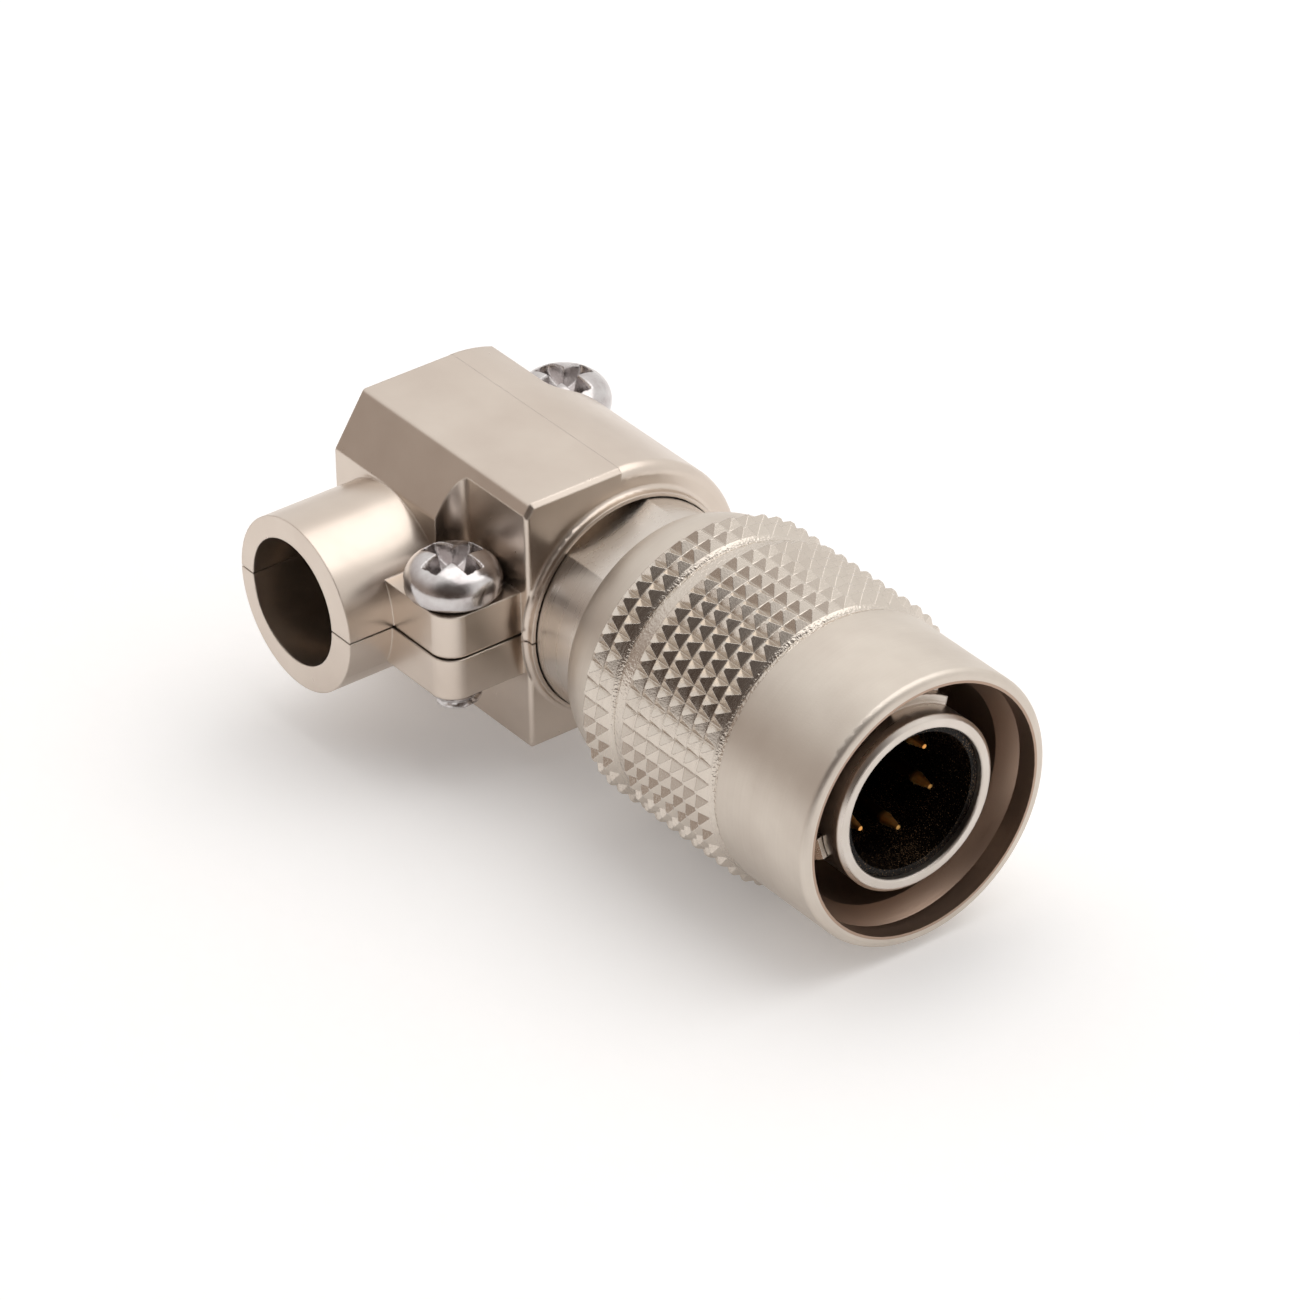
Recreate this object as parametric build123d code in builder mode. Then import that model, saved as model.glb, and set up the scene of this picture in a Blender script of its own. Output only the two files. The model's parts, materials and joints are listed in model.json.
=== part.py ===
"""Right angle push-pull circular connector plug with six contacts and a knurled 11 mm coupling sleeve.

X is the mating axis and points out of the plug, and X = 0 is the front rim of the plug shell.
The cable leaves towards -Y, Z is up, and the two housing halves meet on the plane Z = 0.
All sizes are in millimetres. A name that ends in _x is a place along the mating axis.
"""
import os
from math import cos, pi, radians, sin

from build123d import *

os.makedirs("parts", exist_ok=True)

# Fits
running_gap = 0.05
press_gap = 0.02
parting_gap = 0.06

# Coupling sleeve, outside
sleeve_front_x = 0.5
sleeve_radius = 5.5
sleeve_rim_round = 0.28
grip_front_x = -4.5
grip_root_radius = 5.40
grip_runout = 0.37
main_knurl_rows = 7
ring_width = 0.52
rear_runout = 0.32
rear_knurl_rows = 2
sleeve_tail_length = 1.75
sleeve_tail_radius = 5.46
sleeve_end_radius = 5.0

# Cross knurl: rings and lengthwise grooves that leave flat-topped four-sided pyramids
knurl_count = 48
knurl_phase = 1.68
knurl_pitch = 0.723
knurl_land = 0.12
knurl_root_radius = 5.53
knurl_crest_radius = 5.85

# Coupling sleeve, inside
mating_bore_radius = 5.0
mating_bore_depth = 0.85
cone_length = 0.80
guide_bore_radius = 4.55
rib_width = 1.0
spring_chamber_radius = 4.6
sleeve_travel = 1.8

# Plug shell
shell_radius = 3.5
shell_bore_radius = 3.0
shell_rim_chamfer = 0.15
shell_mouth_chamfer = 0.05
shell_bore_depth = 6.6
flange_front_x = -6.6
flange_width = 1.4
body_radius = 3.75
body_rear_x = -13.2
thread_radius = 3.5
thread_length = 3.0
insert_bore_radius = 2.6
insert_rear_x = -11.5
wire_bore_radius = 2.9

# Keys and latch claws on the plug shell
key_angle = 75
key_front_x = -1.0
key_width = 2.6
key_radius = 3.85
key_step_back = 0.35
key_step_width = 2.2
key_step_radius = 4.05
claw_angles = (195, 315)
claw_front_x = -1.0
claw_length = 1.6
claw_radius = 3.98
arm_width = 1.0
arm_thickness = 0.22
arm_floor_radius = 3.2
latch_ring_x = -10.6
latch_ring_width = 0.8
latch_ring_opening = 70

# Insulators
insert_recess = 0.3
cup_wall = 0.25
cup_depth = 5.4
insert_split_x = -9.0

# Contacts
contact_count = 6
contact_ring_radius = 1.85
contact_phase = 38.5
contact_tip_x = -1.37
contact_radius = 0.25
contact_tip_radius = 0.09
contact_cone_length = 0.7
shoulder_radius = 0.38
shoulder_length = 0.6
tail_radius = 0.34
tail_end_x = -14.2
solder_cup_radius = 0.24
solder_cup_depth = 1.6

# Retaining ring behind the insulators
retainer_width = 0.6
retainer_groove_radius = 3.05
retainer_inner_radius = 2.45

# Return spring and its seat
spring_wire = 0.5
spring_turns = 4
seat_thickness = 0.3
seat_radius = 4.5

# Clamp nut behind the sleeve
nut_radius = 4.3
nut_across_flats = 7.72
nut_flat_angle = 105
nut_flat_front_x = -13.7
nut_rear_x = -17.35
neck_radius = 3.9
neck_length = 0.6
nut_flange_radius = 4.38
nut_flange_width = 0.7

# Right angle housing
housing_front_x = -17.2
outlet_setback = 7.22
housing_top = 5.6
housing_bottom = -4.9
housing_side_y = -5.45
housing_far_radius = 5.5
top_chamfer = (1.38, 2.1)
bottom_chamfer = (1.2, 1.7)
housing_edge_round = 0.2
housing_bevel = 0.16
front_corner_round = 0.18
far_edge_round = 0.45
collar_length = 0.4
collar_radius = 4.5
collar_blend = 0.2
cavity_radius = 3.5
cavity_length = 2.95

# Cable outlet
cable_radius = 2.53
cable_offset = 0.2
outlet_radius = 3.48
outlet_end_y = -9.74
grip_rib_y = -6.9
grip_rib_width = 0.6
grip_rib_height = 0.25

# Near screw lug and its pockets
pocket_wall_y = -4.35
pocket_length = 4.2
pocket_corner = 0.75
lug_setback = 0.45
lug_reach = 3.4
lug_corner = 0.9
lug_top = 1.77
lug_bottom = -1.7
lug_step = 0.08
near_screw_setback = 2.13
near_screw_reach = 1.81

# Far screw lug and its pockets
far_wall_y = 1.95
far_pocket_length = 4.0
far_lug_top = 2.5
far_lug_margin = 1.6
far_screw_setback = 1.85
far_screw_reach = 1.9

# Clamp screws, M2 pan head with cross recess
screw_radius = 0.99
screw_length = 4.85
screw_tip_radius = 0.65
screw_tip_length = 0.35
screw_hole_radius = 1.1
tapped_hole_radius = 1.01
head_radius = 1.84
head_height = 1.6
head_edge = 0.65
recess_span = 2.45
recess_width = 0.62
recess_depth = 0.85
near_screw_turn = 8
far_screw_turn = 5

# Places that follow from the sizes above
main_knurl_front_x = grip_front_x - grip_runout
ring_front_x = main_knurl_front_x - main_knurl_rows * knurl_pitch
ring_rear_x = ring_front_x - ring_width
rear_knurl_front_x = ring_rear_x - rear_runout
tail_front_x = rear_knurl_front_x - rear_knurl_rows * knurl_pitch
sleeve_rear_x = tail_front_x - sleeve_tail_length
mating_bore_x = sleeve_front_x - mating_bore_depth
cone_rear_x = mating_bore_x - cone_length
flange_rear_x = flange_front_x - flange_width
rib_rear_x = flange_rear_x - rib_width
shell_rear_x = body_rear_x - thread_length
seat_front_x = body_rear_x + seat_thickness
collar_front_x = housing_front_x + collar_length
neck_rear_x = nut_rear_x - neck_length
nut_flange_rear_x = neck_rear_x - nut_flange_width
cavity_end_x = nut_flange_rear_x - cavity_length
outlet_x = housing_front_x - outlet_setback
cable_x = outlet_x - cable_offset
housing_back_x = outlet_x - outlet_radius
pocket_back_x = housing_front_x - pocket_length
lug_front_x = housing_front_x - lug_setback
lug_side_y = pocket_wall_y - lug_reach
lug_root_x = (cable_x + cable_radius + outlet_x + outlet_radius) / 2
near_screw_x = housing_front_x - near_screw_setback
near_screw_y = pocket_wall_y - near_screw_reach
far_pocket_front_x = housing_back_x + far_pocket_length
far_screw_x = housing_back_x + far_screw_setback
far_screw_y = far_wall_y + far_screw_reach


def around(x, angle):
    """Plane across the mating axis at x, whose own x axis points outwards at the given angle."""
    return Plane(origin=(x, 0, 0), x_dir=(0, cos(radians(angle)), sin(radians(angle))), z_dir=(1, 0, 0))


def along(angle):
    """Plane through the mating axis: its own x axis runs along X, its y axis outwards at the angle."""
    outward = (0, cos(radians(angle)), sin(radians(angle)))
    return Plane(origin=(0, 0, 0), x_dir=(1, 0, 0), z_dir=(0, -outward[2], outward[1]))


def knurl_ridges(front_x, rows):
    """Points along the turned ridges of one knurl band; its front slope runs down to the grip floor."""
    slope = (knurl_pitch - knurl_land) / 2
    runout = slope * (knurl_root_radius - grip_root_radius) / (knurl_crest_radius - knurl_root_radius)
    points = [(front_x + runout, grip_root_radius)]
    for row in range(rows):
        ridge_x = front_x - row * knurl_pitch - slope
        points.append((ridge_x, knurl_crest_radius))
        points.append((ridge_x - knurl_land, knurl_crest_radius))
        points.append((front_x - (row + 1) * knurl_pitch, knurl_root_radius))
    return points


# Coupling sleeve, with the knurl turned as rings in two bands and then grooved lengthwise
with BuildPart() as coupling_sleeve:
    with BuildSketch(Plane.XZ):
        with BuildLine():
            front = Line((sleeve_front_x, 0), (sleeve_front_x, sleeve_radius - sleeve_rim_round))
            rim = RadiusArc(front @ 1, (sleeve_front_x - sleeve_rim_round, sleeve_radius), -sleeve_rim_round)
            side = Polyline(
                rim @ 1,
                (grip_front_x, sleeve_radius),
                (grip_front_x, grip_root_radius),
                *knurl_ridges(main_knurl_front_x, main_knurl_rows),
                (ring_front_x, sleeve_radius),
                (ring_rear_x, sleeve_radius),
                (ring_rear_x, grip_root_radius),
                *knurl_ridges(rear_knurl_front_x, rear_knurl_rows),
                (tail_front_x, sleeve_tail_radius),
            )
            tail = TangentArc(side @ 1, (sleeve_rear_x, sleeve_end_radius), tangent=(-1, 0))
            Polyline(tail @ 1, (sleeve_rear_x, 0), front @ 0)
        make_face()
    revolve(axis=Axis.X)
    groove_depth = knurl_crest_radius - knurl_root_radius
    groove_half = (2 * pi * knurl_crest_radius / knurl_count - knurl_land) / 2
    overcut = 1.2
    with BuildSketch(Plane.YZ.offset(tail_front_x - knurl_land)):
        with PolarLocations(knurl_root_radius, knurl_count, start_angle=knurl_phase):
            Polygon(
                (0, 0),
                (overcut * groove_depth, -overcut * groove_half),
                (overcut * groove_depth, overcut * groove_half),
                align=None,
            )
    extrude(amount=main_knurl_front_x - tail_front_x + 2 * knurl_land, mode=Mode.SUBTRACT)
    with BuildSketch(Plane.XZ):
        with BuildLine():
            Polyline(
                (sleeve_front_x, 0),
                (sleeve_front_x, mating_bore_radius),
                (mating_bore_x, mating_bore_radius),
                (cone_rear_x, guide_bore_radius),
                (flange_rear_x, guide_bore_radius),
                (flange_rear_x, body_radius + 2 * running_gap),
                (rib_rear_x, body_radius + 2 * running_gap),
                (rib_rear_x, spring_chamber_radius),
                (sleeve_rear_x, spring_chamber_radius),
                (sleeve_rear_x, 0),
                close=True,
            )
        make_face()
    revolve(axis=Axis.X, mode=Mode.SUBTRACT)
coupling_sleeve.part.label = "coupling_sleeve"

# Plug shell: barrel, guide flange, body, rear thread, key and latch slots
with BuildPart() as plug_shell:
    with BuildSketch(Plane.XZ):
        with BuildLine():
            Polyline(
                (0, shell_bore_radius + shell_mouth_chamfer),
                (0, shell_radius - shell_rim_chamfer),
                (-shell_rim_chamfer, shell_radius),
                (flange_front_x, shell_radius),
                (flange_front_x, guide_bore_radius - running_gap),
                (flange_rear_x, guide_bore_radius - running_gap),
                (flange_rear_x, body_radius),
                (body_rear_x, body_radius),
                (body_rear_x, thread_radius),
                (shell_rear_x, thread_radius),
                (shell_rear_x, wire_bore_radius),
                (insert_rear_x - retainer_width, wire_bore_radius),
                (insert_rear_x - retainer_width, retainer_groove_radius),
                (insert_rear_x, retainer_groove_radius),
                (insert_rear_x, insert_bore_radius),
                (-shell_bore_depth, insert_bore_radius),
                (-shell_bore_depth, shell_bore_radius),
                (-shell_mouth_chamfer, shell_bore_radius),
                close=True,
            )
        make_face()
    revolve(axis=Axis.X)
    for start_x, width, radius in (
        (key_front_x, key_width, key_radius),
        (key_front_x - key_step_back, key_step_width, key_step_radius),
    ):
        with BuildSketch(around(start_x, key_angle)):
            Circle(radius)
            Circle((shell_radius + shell_bore_radius) / 2, mode=Mode.SUBTRACT)
            with Locations((radius, 0)):
                Rectangle(shell_radius, width, mode=Mode.INTERSECT)
        extrude(amount=flange_front_x - start_x)
    for angle in claw_angles:
        with BuildSketch(around(claw_front_x + running_gap, angle)):
            with Locations((arm_floor_radius, 0)):
                Rectangle(shell_radius, arm_width + 2 * running_gap, align=(Align.MIN, Align.CENTER))
        extrude(amount=latch_ring_x - claw_front_x - running_gap, mode=Mode.SUBTRACT)
    with BuildSketch(Plane.YZ.offset(latch_ring_x + running_gap)):
        Circle(guide_bore_radius)
        Circle(arm_floor_radius, mode=Mode.SUBTRACT)
    extrude(amount=-latch_ring_width - 2 * running_gap, mode=Mode.SUBTRACT)
plug_shell.part.label = "plug_shell"

# Latch spring: an open band round the shell with two arms that end in the lock claws
arm_inner_radius = arm_floor_radius + press_gap
arm_outer_radius = arm_inner_radius + arm_thickness
with BuildPart() as latch_spring:
    with BuildSketch(around(latch_ring_x, key_angle)):
        Circle(arm_outer_radius)
        Circle(arm_inner_radius, mode=Mode.SUBTRACT)
        opening = radians(latch_ring_opening / 2)
        with BuildLine():
            Polyline(
                (0, 0),
                (2 * shell_radius * cos(opening), 2 * shell_radius * sin(opening)),
                (2 * shell_radius * cos(opening), -2 * shell_radius * sin(opening)),
                close=True,
            )
        make_face(mode=Mode.SUBTRACT)
    extrude(amount=-latch_ring_width)
    for angle in claw_angles:
        with BuildSketch(around(claw_front_x, angle)):
            with Locations((arm_inner_radius, 0)):
                Rectangle(arm_thickness, arm_width, align=(Align.MIN, Align.CENTER))
        extrude(amount=latch_ring_x - claw_front_x - latch_ring_width / 2)
        with BuildSketch(along(angle)):
            with BuildLine():
                ramp = Line((claw_front_x, arm_inner_radius), (claw_front_x, arm_outer_radius + arm_thickness))
                nose = RadiusArc(ramp @ 1, (claw_front_x - claw_length / 2, claw_radius), -claw_length / 2)
                Polyline(
                    nose @ 1,
                    (claw_front_x - claw_length, claw_radius),
                    (claw_front_x - claw_length, arm_inner_radius),
                    ramp @ 0,
                )
            make_face()
        extrude(amount=arm_width / 2, both=True)
latch_spring.part.label = "latch_spring"

# Front insulator: a cup in the shell with a stub that carries the contacts
cup_floor_x = -insert_recess - cup_depth
contact_places = PolarLocations(contact_ring_radius, contact_count, start_angle=contact_phase)
insert_front_radius = shell_bore_radius - press_gap
stub_radius = insert_bore_radius - press_gap
with BuildPart() as insulator_front:
    with BuildSketch(Plane.YZ.offset(-insert_recess)):
        Circle(insert_front_radius)
    extrude(amount=insert_recess - shell_bore_depth)
    with BuildSketch(Plane.YZ.offset(-shell_bore_depth)):
        Circle(stub_radius)
    extrude(amount=insert_split_x + shell_bore_depth)
    with BuildSketch(Plane.YZ.offset(-insert_recess)):
        Circle(insert_front_radius - cup_wall)
    extrude(amount=-cup_depth, mode=Mode.SUBTRACT)
    with BuildSketch(Plane.YZ.offset(cup_floor_x)):
        with contact_places:
            Circle(contact_radius + press_gap)
    extrude(amount=insert_split_x - cup_floor_x, mode=Mode.SUBTRACT)
    with BuildSketch(Plane.YZ.offset(insert_split_x)):
        with contact_places:
            Circle(shoulder_radius + press_gap)
    extrude(amount=shoulder_length, mode=Mode.SUBTRACT)
insulator_front.part.label = "insulator_front"

# Rear insulator, which closes over the contact shoulders
with BuildPart() as insulator_rear:
    with BuildSketch(Plane.YZ.offset(insert_split_x)):
        Circle(stub_radius)
        with contact_places:
            Circle(tail_radius + press_gap, mode=Mode.SUBTRACT)
    extrude(amount=insert_rear_x - insert_split_x)
insulator_rear.part.label = "insulator_rear"

# Retaining ring that snaps into the shell behind the insulators
with BuildPart() as insert_retainer:
    with BuildSketch(Plane.YZ.offset(insert_rear_x)):
        Circle(retainer_groove_radius - running_gap)
        Circle(retainer_inner_radius, mode=Mode.SUBTRACT)
    extrude(amount=-retainer_width)
insert_retainer.part.label = "insert_retainer"


def contact_pin(number):
    """One contact: taper tip, shank, captured shoulder and solder cup, at its place on the ring."""
    angle = radians(contact_phase + (number - 1) * 360 / contact_count)
    centre = (contact_ring_radius * cos(angle), contact_ring_radius * sin(angle))
    axis = Axis((0, *centre), (1, 0, 0))
    with BuildPart() as pin:
        with BuildSketch(Plane(origin=(0, *centre), x_dir=(1, 0, 0), z_dir=(0, -1, 0))):
            with BuildLine():
                Polyline(
                    (contact_tip_x, 0),
                    (contact_tip_x, contact_tip_radius),
                    (contact_tip_x - contact_cone_length, contact_radius),
                    (insert_split_x + shoulder_length, contact_radius),
                    (insert_split_x + shoulder_length, shoulder_radius),
                    (insert_split_x, shoulder_radius),
                    (insert_split_x, tail_radius),
                    (tail_end_x, tail_radius),
                    (tail_end_x, solder_cup_radius),
                    (tail_end_x + solder_cup_depth, solder_cup_radius),
                    (tail_end_x + solder_cup_depth, 0),
                    close=True,
                )
            make_face()
        revolve(axis=axis)
        with BuildSketch(Plane(origin=(tail_end_x, *centre), x_dir=(0, cos(angle), sin(angle)), z_dir=(1, 0, 0))):
            Rectangle(tail_radius, 2 * tail_radius, align=(Align.MIN, Align.CENTER))
        extrude(amount=solder_cup_depth * 0.7, mode=Mode.SUBTRACT)
    pin.part.label = f"contact_pin_{number}"
    return pin.part


contact_pins = [contact_pin(number) for number in range(1, contact_count + 1)]

# Return spring of square wire with ground ends, between the rib in the sleeve and the spring seat
coil_radius = (body_radius + spring_chamber_radius) / 2
spring_length = rib_rear_x - seat_front_x
with BuildPart() as return_spring:
    with BuildLine():
        coil = Helix(
            pitch=spring_length / spring_turns,
            height=spring_length,
            radius=coil_radius,
            center=(seat_front_x, 0, 0),
            direction=(1, 0, 0),
        )
    with BuildSketch(Plane(origin=coil @ 0, z_dir=coil % 0)):
        Rectangle(spring_wire, spring_wire)
    sweep(is_frenet=True)
    split(bisect_by=Plane.YZ.offset(rib_rear_x), keep=Keep.BOTTOM)
    split(bisect_by=Plane.YZ.offset(seat_front_x), keep=Keep.TOP)
return_spring.part.label = "return_spring"

# Spring seat, a flat washer against the front of the clamp nut
with BuildPart() as spring_seat:
    with BuildSketch(Plane.YZ.offset(seat_front_x)):
        Circle(seat_radius)
        Circle(body_radius + running_gap, mode=Mode.SUBTRACT)
    extrude(amount=-seat_thickness)
spring_seat.part.label = "spring_seat"

# Clamp nut: screwed on the shell, with two spanner flats and a flange held by the housing
with BuildPart() as clamp_nut:
    with BuildSketch(Plane.XZ):
        with BuildLine():
            Polyline(
                (body_rear_x, thread_radius + press_gap),
                (body_rear_x, nut_radius),
                (nut_rear_x, nut_radius),
                (nut_rear_x, neck_radius),
                (neck_rear_x, neck_radius),
                (neck_rear_x, nut_flange_radius),
                (nut_flange_rear_x, nut_flange_radius),
                (nut_flange_rear_x, wire_bore_radius),
                (shell_rear_x - running_gap, wire_bore_radius),
                (shell_rear_x - running_gap, thread_radius + press_gap),
                close=True,
            )
        make_face()
    revolve(axis=Axis.X)
    for angle in (nut_flat_angle, nut_flat_angle + 180):
        with BuildSketch(around(nut_flat_front_x, angle)):
            with Locations((nut_across_flats / 2, 0)):
                Rectangle(nut_radius, 2 * nut_radius, align=(Align.MIN, Align.CENTER))
        extrude(amount=nut_rear_x - nut_flat_front_x, mode=Mode.SUBTRACT)
clamp_nut.part.label = "clamp_nut"


def lug_plan(growth):
    """Outline of the near screw lug, larger than drawn by growth at its front and its outer side."""
    with BuildSketch() as plan:
        with Locations((lug_front_x + growth, lug_side_y - growth)):
            Rectangle(lug_front_x + growth - lug_root_x, pocket_wall_y - lug_side_y + growth,
                      align=(Align.MAX, Align.MIN))
        fillet(plan.vertices().sort_by(lambda corner: corner.Y - corner.X)[0], radius=lug_corner)
    return plan.sketch


# Right angle housing as one form, which is then parted into its two halves
high = 2 * housing_top
with BuildPart() as housing_form:
    with BuildSketch(Plane.YZ.offset(housing_back_x)) as section:
        with BuildLine():
            Polyline(
                (0, housing_bottom),
                (housing_side_y + bottom_chamfer[0], housing_bottom),
                (housing_side_y, housing_bottom + bottom_chamfer[1]),
                (housing_side_y, housing_top - top_chamfer[1]),
                (housing_side_y + top_chamfer[0], housing_top),
                (0, housing_top),
                close=True,
            )
        make_face()
        fillet(section.vertices().filter_by(lambda corner: corner.X < -1), radius=housing_edge_round)
    extrude(amount=housing_front_x - housing_back_x)
    end_edges = housing_form.edges().filter_by_position(
        Axis.X, housing_back_x - running_gap, housing_back_x + running_gap
    ) + housing_form.edges().filter_by_position(
        Axis.X, housing_front_x - running_gap, housing_front_x + running_gap
    )
    chamfer(end_edges.filter_by(lambda edge: edge.center().Y < -running_gap), length=housing_bevel)
    with BuildSketch(Plane.XZ) as far_side:
        with Locations((housing_front_x, 0)):
            Rectangle(housing_front_x - housing_back_x, housing_far_radius, align=(Align.MAX, Align.MAX))
        fillet(far_side.vertices().sort_by(lambda corner: corner.Y - corner.X)[0], radius=far_edge_round)
    revolve(axis=Axis.X, revolution_arc=180)
    with BuildSketch(Plane.XY.offset(housing_bottom)):
        with Locations((outlet_x, 0)):
            Rectangle(2 * high, 2 * high)
    extrude(amount=-high, mode=Mode.SUBTRACT)
    with BuildSketch(Plane.XY.offset(-high)):
        with BuildLine():
            wall = Line((lug_front_x, pocket_wall_y), (housing_front_x - front_corner_round, pocket_wall_y))
            corner_end = (housing_front_x, pocket_wall_y + front_corner_round)
            TangentArc(wall @ 1, corner_end, tangent=wall % 1)
            Polyline(corner_end, (0, corner_end[1]), (0, -high), (lug_front_x, -high), wall @ 0)
        make_face()
    extrude(amount=2 * high, mode=Mode.SUBTRACT)
    with BuildSketch(Plane.XZ.offset(-outlet_end_y)):
        with Locations((outlet_x, 0)):
            Circle(outlet_radius)
    extrude(amount=outlet_end_y)
    with BuildSketch(Plane.XY.offset(lug_bottom)):
        add(lug_plan(0))
    extrude(amount=lug_top - lug_bottom)
    with BuildSketch(Plane.XY.offset(lug_bottom)) as far_lug:
        with Locations((housing_back_x, 0)):
            Rectangle(far_screw_x + far_lug_margin - housing_back_x, far_screw_y + far_lug_margin,
                      align=(Align.MIN, Align.MIN))
        fillet(far_lug.vertices().sort_by(lambda corner: corner.X + corner.Y)[-1], radius=far_lug_margin)
    extrude(amount=far_lug_top - lug_bottom)
    with BuildSketch(Plane.XZ):
        with BuildLine():
            collar = Polyline(
                (housing_front_x, 0),
                (collar_front_x, 0),
                (collar_front_x, collar_radius),
                (housing_front_x + collar_blend, collar_radius),
            )
            blend = RadiusArc(collar @ 1, (housing_front_x, collar_radius + collar_blend), collar_blend)
            Line(blend @ 1, collar @ 0)
        make_face()
    revolve(axis=Axis.X)
    for floor, toward, far_floor in ((lug_top, 1, far_lug_top), (lug_bottom, -1, lug_bottom)):
        with BuildSketch(Plane.XY.offset(floor)) as near_pocket:
            with Locations((pocket_back_x, pocket_wall_y)):
                Rectangle(high, high, align=(Align.MIN, Align.MAX))
            fillet(near_pocket.vertices().sort_by(lambda corner: corner.X - corner.Y)[0], radius=pocket_corner)
        extrude(amount=toward * high, mode=Mode.SUBTRACT)
        with BuildSketch(Plane.XY.offset(far_floor)) as far_pocket:
            with Locations((far_pocket_front_x, far_wall_y)):
                Rectangle(high, high, align=(Align.MAX, Align.MIN))
            fillet(far_pocket.vertices().sort_by(lambda corner: corner.Y - corner.X)[0], radius=pocket_corner)
        extrude(amount=toward * high, mode=Mode.SUBTRACT)
    with BuildSketch(Plane.XZ):
        with BuildLine():
            Polyline(
                (collar_front_x, 0),
                (collar_front_x, nut_radius + running_gap),
                (nut_rear_x - running_gap, nut_radius + running_gap),
                (nut_rear_x - running_gap, neck_radius + running_gap),
                (neck_rear_x + running_gap, neck_radius + running_gap),
                (neck_rear_x + running_gap, nut_flange_radius + running_gap),
                (nut_flange_rear_x - running_gap, nut_flange_radius + running_gap),
                (nut_flange_rear_x - running_gap, cavity_radius),
                (cavity_end_x, cavity_radius),
                (cavity_end_x, cable_radius),
                (cable_x, cable_radius),
                (cable_x, 0),
                close=True,
            )
        make_face()
    revolve(axis=Axis.X, mode=Mode.SUBTRACT)
    with BuildSketch(Plane.XZ.offset(-outlet_end_y)):
        with Locations((cable_x, 0)):
            Circle(cable_radius)
    extrude(amount=outlet_end_y, mode=Mode.SUBTRACT)
    with Locations((cable_x, 0, 0)):
        Sphere(cable_radius, mode=Mode.SUBTRACT)
    with BuildSketch(Plane.XZ.offset(-grip_rib_y)):
        with Locations((cable_x, 0)):
            Circle(cable_radius + grip_rib_height)
            Circle(cable_radius - grip_rib_height, mode=Mode.SUBTRACT)
    extrude(amount=-grip_rib_width)

screw_axes = ((near_screw_x, near_screw_y), (far_screw_x, far_screw_y))

with BuildPart() as housing_upper:
    add(housing_form.part)
    split(bisect_by=Plane.XY.offset(parting_gap / 2), keep=Keep.TOP)
    with BuildSketch(Plane.XY):
        with Locations(*screw_axes):
            Circle(screw_hole_radius)
    extrude(amount=high, mode=Mode.SUBTRACT)
housing_upper.part.label = "housing_upper"

with BuildPart() as housing_lower:
    add(housing_form.part)
    split(bisect_by=Plane.XY.offset(-parting_gap / 2), keep=Keep.BOTTOM)
    with BuildSketch(Plane.XY.offset(lug_bottom)):
        add(lug_plan(lug_step))
    extrude(amount=-parting_gap / 2 - lug_bottom)
    with BuildSketch(Plane.XY):
        with Locations(*screw_axes):
            Circle(tapped_hole_radius)
    extrude(amount=-high, mode=Mode.SUBTRACT)
housing_lower.part.label = "housing_lower"


def clamp_screw(name, axis, seat_z, turn):
    """One M2 pan head screw with a cross recess, seated at seat_z and turned by turn degrees."""
    x, y = axis
    arm = (cos(radians(turn)), sin(radians(turn)), 0)
    with BuildPart() as screw:
        with BuildSketch(Plane(origin=(x, y, seat_z), x_dir=(1, 0, 0), z_dir=(0, -1, 0))):
            with BuildLine():
                Polyline(
                    (0, head_height),
                    (0, -screw_length),
                    (screw_tip_radius, -screw_length),
                    (screw_radius, screw_tip_length - screw_length),
                    (screw_radius, 0),
                    (head_radius, 0),
                    (head_radius, head_edge),
                )
                EllipticalCenterArc(
                    center=(0, head_edge),
                    x_radius=head_radius,
                    y_radius=head_height - head_edge,
                    start_angle=0,
                    arc_size=90,
                )
            make_face()
        revolve(axis=Axis((x, y, 0), (0, 0, 1)))
        with BuildSketch(Plane(origin=(x, y, seat_z + head_height), x_dir=arm, z_dir=(0, 0, 1))):
            Rectangle(recess_span, recess_width)
            Rectangle(recess_width, recess_span)
        extrude(amount=-recess_depth, taper=12, mode=Mode.SUBTRACT)
    screw.part.label = name
    return screw.part


near_clamp_screw = clamp_screw("clamp_screw_near", screw_axes[0], lug_top, near_screw_turn)
far_clamp_screw = clamp_screw("clamp_screw_far", screw_axes[1], far_lug_top, far_screw_turn)

pieces = [
    coupling_sleeve.part,
    plug_shell.part,
    latch_spring.part,
    insulator_front.part,
    insulator_rear.part,
    insert_retainer.part,
    *contact_pins,
    return_spring.part,
    spring_seat.part,
    clamp_nut.part,
    housing_upper.part,
    housing_lower.part,
    near_clamp_screw,
    far_clamp_screw,
]
for piece in pieces:
    export_step(piece, f"parts/{piece.label}.step")
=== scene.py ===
"""Right angle push-pull connector plug: finishes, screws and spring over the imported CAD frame.

All places come from the frame, in metres. X is the mating axis, the cable leaves towards -Y, Z is up.
"""

import json
import logging
import math
from dataclasses import dataclass
from enum import Enum

import bpy
from mathutils import Matrix, Vector

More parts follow.
